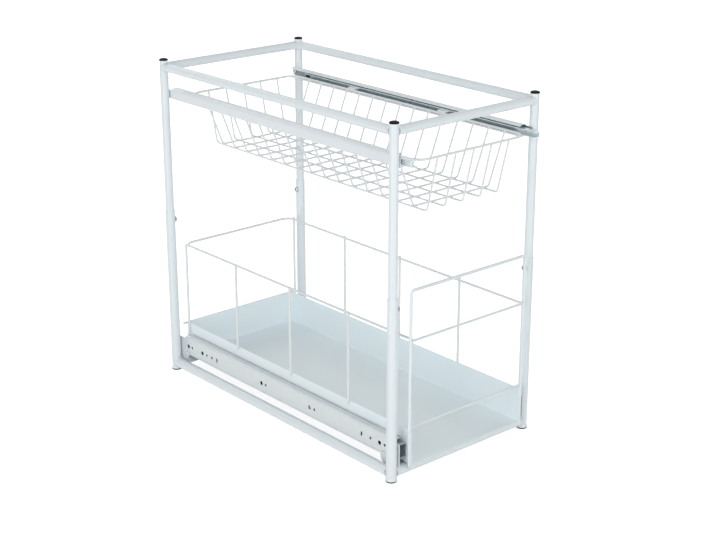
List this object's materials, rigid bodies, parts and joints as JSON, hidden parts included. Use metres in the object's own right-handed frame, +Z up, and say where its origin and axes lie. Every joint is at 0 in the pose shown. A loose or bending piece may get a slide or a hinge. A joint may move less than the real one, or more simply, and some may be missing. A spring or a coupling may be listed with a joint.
{
  "type": "pull out cabinet basket",
  "caption": "Two-tier telescopic tube frame with a wire basket above and a sheet tray with a wire gallery below, each pulling out on ball bearing slides.",
  "frame": {"origin": "middle of the whole footprint, front of the slides to the rear feet, on the floor under the glides", "axes": "+X to the right seen from the pull side, +Y to the rear, -Y the way the basket and tray pull out, +Z up"},
  "size_m": [0.2344, 0.4612, 0.428],
  "materials": {
    "white_powder_coat": "gloss powder coat",
    "galvanised_sheet": "galvanised",
    "bright_zinc": "bright zinc plate",
    "cage_steel": "zinc plate",
    "ball_steel": "polished",
    "black_plastic": "moulded"
  },
  "bodies": {
    "root": {"lower_post_front_left": "white_powder_coat", "lower_post_front_right": "white_powder_coat", "lower_post_rear_left": "white_powder_coat", "lower_post_rear_right": "white_powder_coat", "bottom_tube_front": "white_powder_coat", "bottom_tube_left": "white_powder_coat", "bottom_tube_rear": "white_powder_coat", "bottom_tube_right": "white_powder_coat", "foot_caps": "white_powder_coat", "foot_glides": "black_plastic", "clamp_screws": "bright_zinc", "cross_bracket_front": "galvanised_sheet", "cross_bracket_rear": "galvanised_sheet", "lower_outer_member_left": "galvanised_sheet", "lower_outer_member_right": "galvanised_sheet", "lower_runner_bumpers": "black_plastic"},
    "upper_frame": {"upper_post_front_left": "white_powder_coat", "upper_post_front_right": "white_powder_coat", "upper_post_rear_left": "white_powder_coat", "upper_post_rear_right": "white_powder_coat", "top_tube_front": "white_powder_coat", "top_tube_left": "white_powder_coat", "top_tube_rear": "white_powder_coat", "top_tube_right": "white_powder_coat", "post_plugs": "black_plastic", "upper_rail_left": "white_powder_coat", "upper_rail_right": "white_powder_coat", "upper_runner_bumpers": "black_plastic"},
    "tray": {"tray_pan": "white_powder_coat", "tray_gallery_wire": "white_powder_coat", "tray_uprights": "white_powder_coat", "tray_front_handle": "white_powder_coat", "tray_cross_wires": "white_powder_coat", "lower_inner_member_left": "galvanised_sheet", "lower_inner_member_right": "galvanised_sheet"},
    "basket": {"basket_rim": "white_powder_coat", "basket_cross_wires": "white_powder_coat", "basket_long_wires": "white_powder_coat", "basket_tabs": "white_powder_coat", "upper_inner_member_left": "bright_zinc", "upper_inner_member_right": "bright_zinc"},
    "lower_cage_left": {"lower_ball_cage_left": "cage_steel", "lower_balls_left": "ball_steel"},
    "lower_cage_right": {"lower_ball_cage_right": "cage_steel", "lower_balls_right": "ball_steel"},
    "upper_cage_left": {"upper_ball_cage_left": "cage_steel", "upper_balls_left": "ball_steel"},
    "upper_cage_right": {"upper_ball_cage_right": "cage_steel", "upper_balls_right": "ball_steel"}
  },
  "joints": [
    {"name": "frame_height", "type": "slide", "parent": "root", "child": "upper_frame", "axis": [0, 0, 1], "range_m": [-0.04, 0.09]},
    {"name": "tray_pull", "type": "slide", "parent": "root", "child": "tray", "axis": [0, -1, 0], "range_m": [0, 0.3]},
    {"name": "basket_pull", "type": "slide", "parent": "upper_frame", "child": "basket", "axis": [0, -1, 0], "range_m": [0, 0.28]},
    {"name": "lower_cage_left_roll", "type": "slide", "parent": "root", "child": "lower_cage_left", "axis": [0, -1, 0], "range_m": [0, 0.15]},
    {"name": "lower_cage_right_roll", "type": "slide", "parent": "root", "child": "lower_cage_right", "axis": [0, -1, 0], "range_m": [0, 0.15]},
    {"name": "upper_cage_left_roll", "type": "slide", "parent": "upper_frame", "child": "upper_cage_left", "axis": [0, -1, 0], "range_m": [0, 0.14]},
    {"name": "upper_cage_right_roll", "type": "slide", "parent": "upper_frame", "child": "upper_cage_right", "axis": [0, -1, 0], "range_m": [0, 0.14]}
  ],
  "couplings": [
    {"joint": "lower_cage_left_roll", "follows": "tray_pull", "ratio": 0.5},
    {"joint": "lower_cage_right_roll", "follows": "tray_pull", "ratio": 0.5},
    {"joint": "upper_cage_left_roll", "follows": "basket_pull", "ratio": 0.5},
    {"joint": "upper_cage_right_roll", "follows": "basket_pull", "ratio": 0.5}
  ]
}
